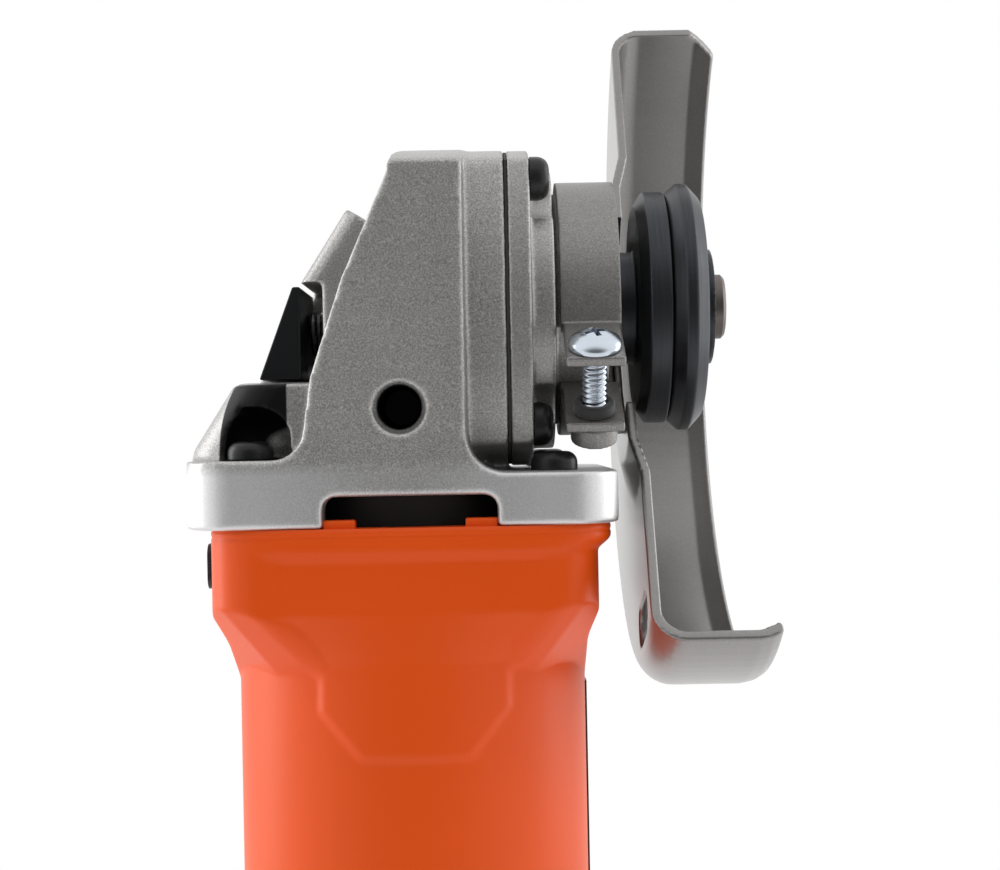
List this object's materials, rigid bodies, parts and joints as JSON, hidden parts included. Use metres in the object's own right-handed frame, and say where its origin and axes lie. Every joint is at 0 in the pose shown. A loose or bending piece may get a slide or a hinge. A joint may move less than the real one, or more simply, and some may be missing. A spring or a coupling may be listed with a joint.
{
  "type": "angle grinder",
  "caption": "Slim corded angle grinder: cast bevel gear head with lock button and side handle holes, clamped sheet guard, wheel flange and nut, round orange motor grip and rear handle.",
  "frame": {"origin": "centre of the cord inlet at the rear end of the handle", "axes": "+Z along the motor axis towards the gear head, +X along the wheel spindle the way it points, -Y towards the side with the guard clamp"},
  "size_m": [0.0919, 0.0999, 0.3],
  "materials": {
    "cast_aluminium": "die-cast housing in a fine speckled warm grey coat",
    "cover_grey": "die-cast cover in the same grey coat",
    "guard_steel": "bent sheet steel with a satin grey coat",
    "black_oxide": "black oxide steel with bright worn edges",
    "screw_black": "black phosphated steel",
    "zinc_screw": "bluish zinc plated steel",
    "orange_plastic": "matte orange moulded nylon",
    "black_plastic": "matte black moulded nylon",
    "lock_plastic": "satin black button",
    "black_rubber": "black rubber",
    "bright_steel": "turned and ground steel",
    "gear_steel": "hardened gear steel",
    "bronze": "sintered bronze",
    "brass": "stamped brass",
    "lamination": "stacked electrical steel",
    "copper": "enamelled copper",
    "carbon": "pressed carbon",
    "felt": "grey felt",
    "fibre": "dark gasket paper",
    "label_dark": "plain dark label film",
    "film_yellow": "yellow film capacitor",
    "ivory_plastic": "ivory terminal block"
  },
  "bodies": {
    "housing": {"gear_housing": "cast_aluminium", "gear_case_gasket": "fibre", "bearing_cover": "cover_grey", "cover_screws": "screw_black", "bearing_retainer": "gear_steel", "spindle_bush": "bronze", "spindle_bearing_outer": "bright_steel", "spindle_seal": "felt", "lock_spring": "bright_steel", "motor_housing": "orange_plastic", "flange_screws": "screw_black", "fan_baffle": "black_plastic", "bearing_plate": "gear_steel", "stator_core": "lamination", "field_coils": "copper", "front_bearing_outer": "bright_steel", "rear_bearing_outer": "bright_steel", "bearing_boot": "black_rubber", "brush_holders": "brass", "carbon_brushes": "carbon", "brush_springs": "bright_steel", "brush_caps": "black_plastic", "switch_body": "black_plastic", "capacitor": "film_yellow", "terminal_block": "ivory_plastic", "handle_left": "black_plastic", "handle_right": "black_plastic", "handle_screws": "screw_black", "cord_gland": "black_rubber", "cord_clamp": "black_plastic", "cord_clamp_screws": "zinc_screw", "rating_label": "label_dark", "badge": "label_dark"},
    "spindle": {"spindle": "bright_steel", "crown_gear": "gear_steel", "gear_circlip": "gear_steel", "spindle_bearing_inner": "bright_steel", "inner_flange": "black_oxide", "lock_nut": "black_oxide"},
    "spindle_cage": {"spindle_bearing_balls": "bright_steel"},
    "armature": {"armature_shaft": "bright_steel", "armature_core": "lamination", "armature_windings": "copper", "commutator": "copper", "fan": "black_plastic", "pinion": "gear_steel", "front_bearing_inner": "bright_steel", "rear_bearing_inner": "bright_steel"},
    "front_cage": {"front_bearing_balls": "bright_steel"},
    "rear_cage": {"rear_bearing_balls": "bright_steel"},
    "guard": {"wheel_guard": "guard_steel", "guard_band": "guard_steel"},
    "clamp_screw": {"clamp_screw": "zinc_screw", "clamp_ring": "black_rubber"},
    "lock_button": {"lock_button": "lock_plastic", "lock_pin": "gear_steel"},
    "switch_slide": {"switch_knob": "black_plastic", "switch_rod": "gear_steel", "switch_lever": "black_plastic"}
  },
  "joints": [
    {"name": "spindle_spin", "type": "hinge", "parent": "housing", "child": "spindle", "pos_m": [0, 0, 0.245], "axis": [1, 0, 0], "continuous": true},
    {"name": "spindle_cage_spin", "type": "hinge", "parent": "housing", "child": "spindle_cage", "pos_m": [0, 0, 0.245], "axis": [1, 0, 0], "continuous": true},
    {"name": "armature_spin", "type": "hinge", "parent": "housing", "child": "armature", "pos_m": [0, 0, 0], "axis": [0, 0, 1], "continuous": true},
    {"name": "front_cage_spin", "type": "hinge", "parent": "housing", "child": "front_cage", "pos_m": [0, 0, 0], "axis": [0, 0, 1], "continuous": true},
    {"name": "rear_cage_spin", "type": "hinge", "parent": "housing", "child": "rear_cage", "pos_m": [0, 0, 0], "axis": [0, 0, 1], "continuous": true},
    {"name": "guard_turn", "type": "hinge", "parent": "housing", "child": "guard", "pos_m": [0, 0, 0.245], "axis": [1, 0, 0], "range_deg": [-180, 0]},
    {"name": "clamp_screw_turn", "type": "hinge", "parent": "guard", "child": "clamp_screw", "pos_m": [0.03035, -0.02673, 0.23138], "axis": [0, -0.454, 0.891], "range_deg": [0, 720]},
    {"name": "lock_press", "type": "slide", "parent": "housing", "child": "lock_button", "axis": [1, 0, 0], "range_m": [0, 0.0035], "stiffness_N_per_m": 400, "springref_m": -0.003, "deforming": ["lock_spring"]},
    {"name": "switch_slide", "type": "slide", "parent": "housing", "child": "switch_slide", "axis": [0, 0, 1], "range_m": [0, 0.008]}
  ],
  "couplings": [
    {"joint": "armature_spin", "follows": "spindle_spin", "ratio": 3.3636},
    {"joint": "spindle_cage_spin", "follows": "spindle_spin", "ratio": 0.384},
    {"joint": "front_cage_spin", "follows": "spindle_spin", "ratio": 1.2483},
    {"joint": "rear_cage_spin", "follows": "spindle_spin", "ratio": 1.2266}
  ]
}
